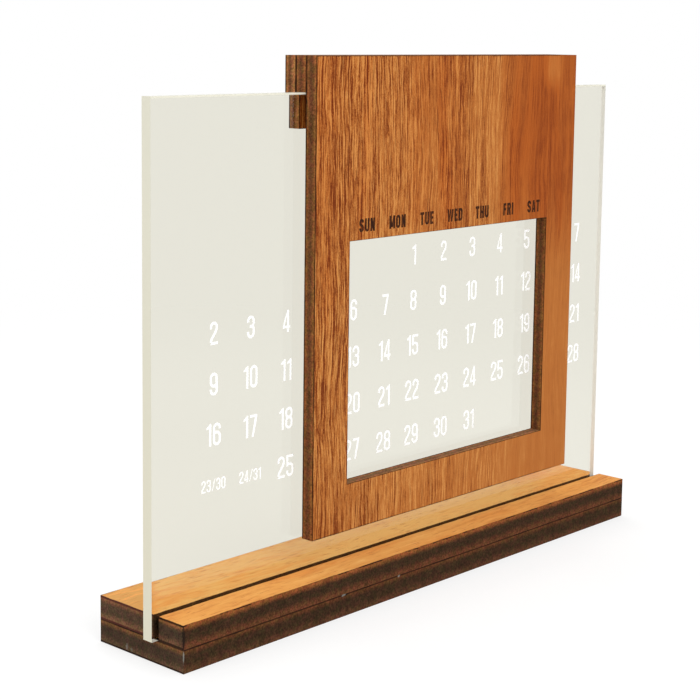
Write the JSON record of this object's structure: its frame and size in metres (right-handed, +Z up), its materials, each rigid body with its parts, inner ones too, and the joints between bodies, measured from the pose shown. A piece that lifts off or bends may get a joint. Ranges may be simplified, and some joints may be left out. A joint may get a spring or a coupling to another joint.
{
  "type": "perpetual desk calendar",
  "caption": "Perpetual desk calendar: clear date panel standing in a slotted plywood base, with a plywood window frame that hangs on its top edge and slides along it.",
  "frame": {"origin": "centre of the base's underside", "axes": "+X along the base to the right seen from the front, -Y to the front (the side the dates are read from), +Z up"},
  "size_m": [0.182, 0.03, 0.1413],
  "materials": {
    "base_veneer": "light orange veneer, fine grain along the base, bare satin, laser-charred edges",
    "base_core": "laser-charred ply edge, matte dark brown",
    "slider_veneer": "reddish brown veneer, open upright grain, satin",
    "slider_core": "laser-charred ply edge, matte dark brown",
    "clear_acrylic": "clear cast sheet, polished faces and laser-cut edges",
    "numeral_print": "opaque white print",
    "burnt_lettering": "laser-burnt lettering, matte"
  },
  "bodies": {
    "base": {"lower_board_bottom_ply": "base_veneer", "lower_board_core": "base_core", "lower_board_top_ply": "base_veneer", "rear_rail_bottom_ply": "base_veneer", "rear_rail_core": "base_core", "rear_rail_top_ply": "base_veneer", "front_rail_bottom_ply": "base_veneer", "front_rail_core": "base_core", "front_rail_top_ply": "base_veneer"},
    "panel": {"date_panel": "clear_acrylic"},
    "slider": {"window_board_back_ply": "slider_veneer", "window_board_core": "slider_core", "window_board_front_ply": "slider_veneer", "spacer_strip_back_ply": "slider_veneer", "spacer_strip_core": "slider_core", "spacer_strip_front_ply": "slider_veneer", "hook_strip_back_ply": "slider_veneer", "hook_strip_core": "slider_core", "hook_strip_front_ply": "slider_veneer"}
  },
  "joints": [
    {"name": "panel_lift", "type": "slide", "parent": "base", "child": "panel", "axis": [0, 0, 1], "range_m": [0, 0.012]},
    {"name": "month_slide", "type": "slide", "parent": "panel", "child": "slider", "axis": [1, 0, 0], "range_m": [-0.0484, 0.0242]}
  ]
}
